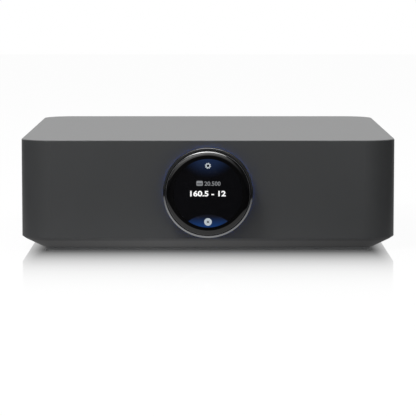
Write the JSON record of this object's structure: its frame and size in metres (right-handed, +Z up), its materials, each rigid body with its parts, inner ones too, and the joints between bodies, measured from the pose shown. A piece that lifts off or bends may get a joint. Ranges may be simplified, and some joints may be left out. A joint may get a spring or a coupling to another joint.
{
  "type": "streaming amplifier",
  "caption": "Low square metal amplifier with a round touch display inside a turning dial, an undercut base on a rubber ring and a panel of sockets at the rear.",
  "frame": {"origin": "on the table under the middle of the square body", "axes": "+Z up, the front with the dial faces -Y, +X to the right seen from the front"},
  "size_m": [0.22, 0.2533, 0.0653],
  "materials": {
    "housing_metal": "anodised, fine matte",
    "tray_metal": "powder coated, fine matte",
    "rubber": "matte",
    "steel": "zinc plated",
    "black_steel": "blackened",
    "panel_plastic": "fine matte",
    "dial_metal": "black anodised, diamond cut lip",
    "glass": "polished black",
    "screen": "lit display",
    "carrier_plastic": "moulded",
    "bearing_steel": "ground",
    "nylon": "moulded",
    "magnet": "ferrite",
    "diffuser": "translucent, lit blue",
    "circuit_board": "solder mask",
    "dark_board": "black solder mask",
    "lamp": "lamps and sensors",
    "ribbon": "polyimide",
    "tin": "tinned sheet",
    "sink_metal": "black anodised",
    "ferrite": "ground ferrite",
    "can_sleeve": "shrink sleeve",
    "winding": "taped copper winding",
    "copper": "enamelled copper",
    "brass": "turned",
    "nickel": "nickel plated",
    "black_plastic": "moulded",
    "red_plastic": "moulded",
    "post_plastic": "moulded",
    "strip_copper": "tinned copper strip",
    "gold": "gold plated"
  },
  "bodies": {
    "root": {"top_housing": "housing_metal", "base_tray": "tray_metal", "foot_ring": "rubber", "base_screws": "black_steel", "rear_panel": "panel_plastic", "rear_panel_screws": "black_steel", "bearing_sleeve": "bearing_steel", "cover_glass": "glass", "display_panel": "screen", "display_carrier": "carrier_plastic", "carrier_screws": "steel", "light_diffuser": "diffuser", "light_board": "dark_board", "board_lamps": "lamp", "display_ribbon": "ribbon", "power_supply_board": "circuit_board", "amplifier_board": "circuit_board", "main_board": "circuit_board", "board_standoffs": "brass", "board_screws": "steel", "streaming_module": "dark_board", "module_shield": "tin", "amplifier_heatsink": "sink_metal", "output_inductors": "ferrite", "filter_capacitors": "can_sleeve", "bulk_capacitors": "can_sleeve", "transformer_core": "ferrite", "transformer_winding": "winding", "line_choke": "copper", "mains_inlet": "black_plastic", "inlet_pins": "nickel", "inlet_strips": "strip_copper", "speaker_strips": "strip_copper", "post_insulators": "post_plastic", "post_cores": "gold", "phono_housings": "black_plastic", "phono_collars": "gold", "hdmi_socket": "tin", "usb_socket": "tin", "ethernet_jack": "black_plastic", "optical_jack": "black_plastic", "button_switch": "black_plastic", "antenna_boards": "dark_board"},
    "dial": {"dial_ring": "dial_metal", "encoder_magnet": "magnet", "bearing_liner": "nylon"},
    "optical_flap": {"optical_flap": "black_plastic"},
    "setup_button": {"setup_button": "black_plastic"},
    "clamp_washer_1": {"clamp_washer_1": "post_plastic"},
    "post_cap_1": {"post_cap_1": "red_plastic"},
    "clamp_washer_2": {"clamp_washer_2": "post_plastic"},
    "post_cap_2": {"post_cap_2": "post_plastic"},
    "clamp_washer_3": {"clamp_washer_3": "post_plastic"},
    "post_cap_3": {"post_cap_3": "red_plastic"},
    "clamp_washer_4": {"clamp_washer_4": "post_plastic"},
    "post_cap_4": {"post_cap_4": "post_plastic"}
  },
  "joints": [
    {"name": "dial_turn", "type": "hinge", "parent": "root", "child": "dial", "pos_m": [0, -0.11, 0.0356], "axis": [0, 1, 0], "continuous": true},
    {"name": "post_travel_1", "type": "slide", "parent": "root", "child": "clamp_washer_1", "axis": [0, 1, 0], "range_m": [0, 0.0055]},
    {"name": "post_turn_1", "type": "hinge", "parent": "clamp_washer_1", "child": "post_cap_1", "pos_m": [-0.04031, 0.12, 0.02463], "axis": [0, 1, 0], "range_deg": [0, 1970]},
    {"name": "post_travel_2", "type": "slide", "parent": "root", "child": "clamp_washer_2", "axis": [0, 1, 0], "range_m": [0, 0.0055]},
    {"name": "post_turn_2", "type": "hinge", "parent": "clamp_washer_2", "child": "post_cap_2", "pos_m": [-0.02126, 0.12, 0.02463], "axis": [0, 1, 0], "range_deg": [0, 1970]},
    {"name": "post_travel_3", "type": "slide", "parent": "root", "child": "clamp_washer_3", "axis": [0, 1, 0], "range_m": [0, 0.0055]},
    {"name": "post_turn_3", "type": "hinge", "parent": "clamp_washer_3", "child": "post_cap_3", "pos_m": [-0.04031, 0.12, 0.04367], "axis": [0, 1, 0], "range_deg": [0, 1970]},
    {"name": "post_travel_4", "type": "slide", "parent": "root", "child": "clamp_washer_4", "axis": [0, 1, 0], "range_m": [0, 0.0055]},
    {"name": "post_turn_4", "type": "hinge", "parent": "clamp_washer_4", "child": "post_cap_4", "pos_m": [-0.02126, 0.12, 0.04367], "axis": [0, 1, 0], "range_deg": [0, 1970]},
    {"name": "optical_flap_swing", "type": "hinge", "parent": "root", "child": "optical_flap", "pos_m": [0.03882, 0.1095, 0.0235], "axis": [-1, 0, 0], "range_deg": [0, 86], "stiffness_Nm_per_rad": 0.0002, "springref_deg": -17.19},
    {"name": "setup_button_press", "type": "slide", "parent": "root", "child": "setup_button", "axis": [0, -1, 0], "range_m": [0, 0.0005], "stiffness_N_per_m": 1500, "springref_m": -0.0003}
  ],
  "couplings": [
    {"joint": "post_travel_1", "follows": "post_turn_1", "m_per_rad": 0.00015915},
    {"joint": "post_travel_2", "follows": "post_turn_2", "m_per_rad": 0.00015915},
    {"joint": "post_travel_3", "follows": "post_turn_3", "m_per_rad": 0.00015915},
    {"joint": "post_travel_4", "follows": "post_turn_4", "m_per_rad": 0.00015915}
  ]
}
